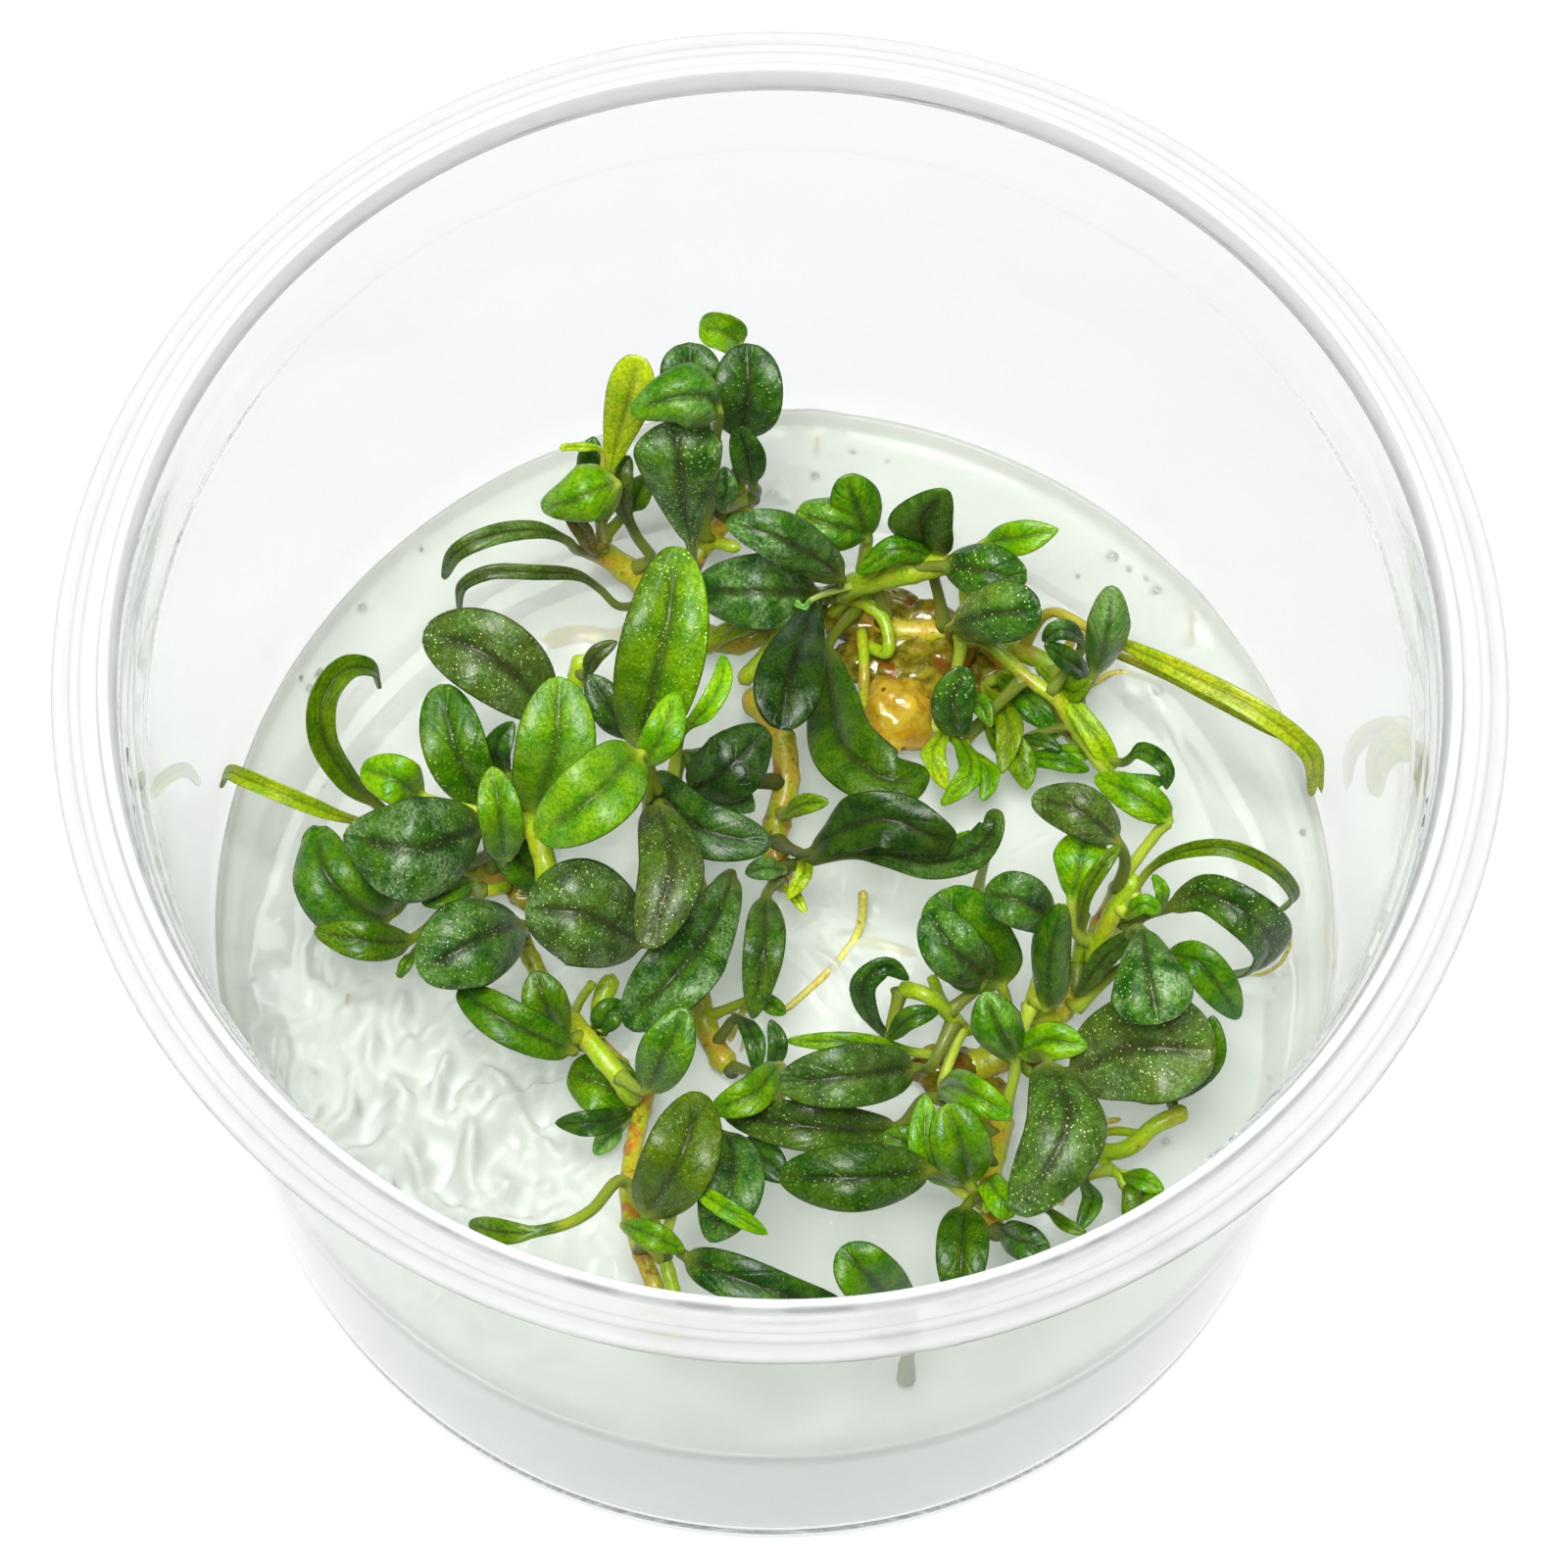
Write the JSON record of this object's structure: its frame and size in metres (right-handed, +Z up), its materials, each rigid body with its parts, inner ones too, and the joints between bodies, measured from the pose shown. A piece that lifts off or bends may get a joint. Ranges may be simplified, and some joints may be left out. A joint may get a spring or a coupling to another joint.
{
  "type": "tissue culture aquarium plant in a cup",
  "caption": "Young bucephalandra with oval, strap and hooked leaves on creeping stems, growing on a layer of pale gel in an open clear plastic cup with a flanged rim.",
  "frame": {"origin": "middle of the cup's foot, on the surface it stands on", "axes": "+Z up through the cup's axis, +Y away from the viewer of the picture, +X to the viewer's right"},
  "size_m": [0.1, 0.1, 0.0725],
  "materials": {
    "clear_cup": "thin clear moulded plastic, slightly milky, smooth and glossy",
    "gel": "wet pale grey green gel, see-through, with a torn and dented top and small air bubbles",
    "callus": "moist brown and yellow callus, lumpy, softly shining",
    "stem": "fleshy yellow green stem with brown and reddish patches and leaf scars, satin",
    "leaf_dark": "dark green waxy leaf with a bluish sheen, fine pale speckles and a purplish midrib",
    "leaf_mid": "green waxy leaf with fine pale speckles and a darker midrib",
    "leaf_bright": "bright green young leaf, thin, satin, a little light showing through",
    "leaf_young": "yellow green new leaf, thin, satin",
    "leaf_pale": "pale matt underside of a curled leaf with parallel veins"
  },
  "bodies": {
    "root": {"cup": "clear_cup", "gel": "gel", "callus_lump": "callus", "back_stem": "stem", "top_stem": "stem", "left_stem": "stem", "low_left_stem": "stem", "middle_stem": "stem", "centre_stem": "stem", "right_stem": "stem", "lower_right_stem": "stem", "front_right_stem": "stem", "front_stem": "stem", "back_tip_leaf": "leaf_bright", "back_round_leaf": "leaf_dark", "back_pointed_leaf": "leaf_mid", "back_broad_leaf": "leaf_dark", "back_upright_leaf": "leaf_young", "upper_strap_leaf": "leaf_dark", "lower_strap_leaf": "leaf_dark", "silver_leaf": "leaf_dark", "upright_dark_leaf": "leaf_dark", "sickle_leaf": "leaf_dark", "spotted_leaf": "leaf_mid", "glossy_leaf": "leaf_dark", "wavy_leaf": "leaf_dark", "striped_leaf": "leaf_dark", "square_bright_leaf": "leaf_mid", "brown_patch_leaf": "leaf_dark", "pointed_bright_leaf": "leaf_bright", "blunt_dark_leaf": "leaf_dark", "yellow_tipped_leaf": "leaf_dark", "long_yellow_leaf": "leaf_young", "pale_curled_leaf": "leaf_pale", "brown_leaf": "leaf_dark", "green_side_leaf": "leaf_mid", "bright_upright_leaf": "leaf_bright", "bright_tilted_leaf": "leaf_bright", "hooked_leaf": "leaf_mid", "long_hooked_leaf": "leaf_young", "bluish_leaf": "leaf_dark", "folded_leaf": "leaf_pale", "dark_oval_leaf": "leaf_dark", "low_green_leaf": "leaf_mid", "middle_oval_leaf": "leaf_dark", "spotted_dark_leaf": "leaf_dark", "shiny_dark_leaf": "leaf_dark", "narrow_oval_leaf": "leaf_dark", "front_green_leaf": "leaf_mid", "umber_leaf": "leaf_dark", "lime_leaf": "leaf_bright", "arching_strap_leaf": "leaf_mid", "folding_dark_leaf": "leaf_dark", "round_bowl_leaf": "leaf_mid", "grey_leaf": "leaf_dark", "red_rib_leaf": "leaf_mid", "big_dark_leaf": "leaf_dark", "big_upright_leaf": "leaf_dark", "front_oval_leaf": "leaf_mid", "front_dark_leaf": "leaf_mid"}
  },
  "joints": []
}
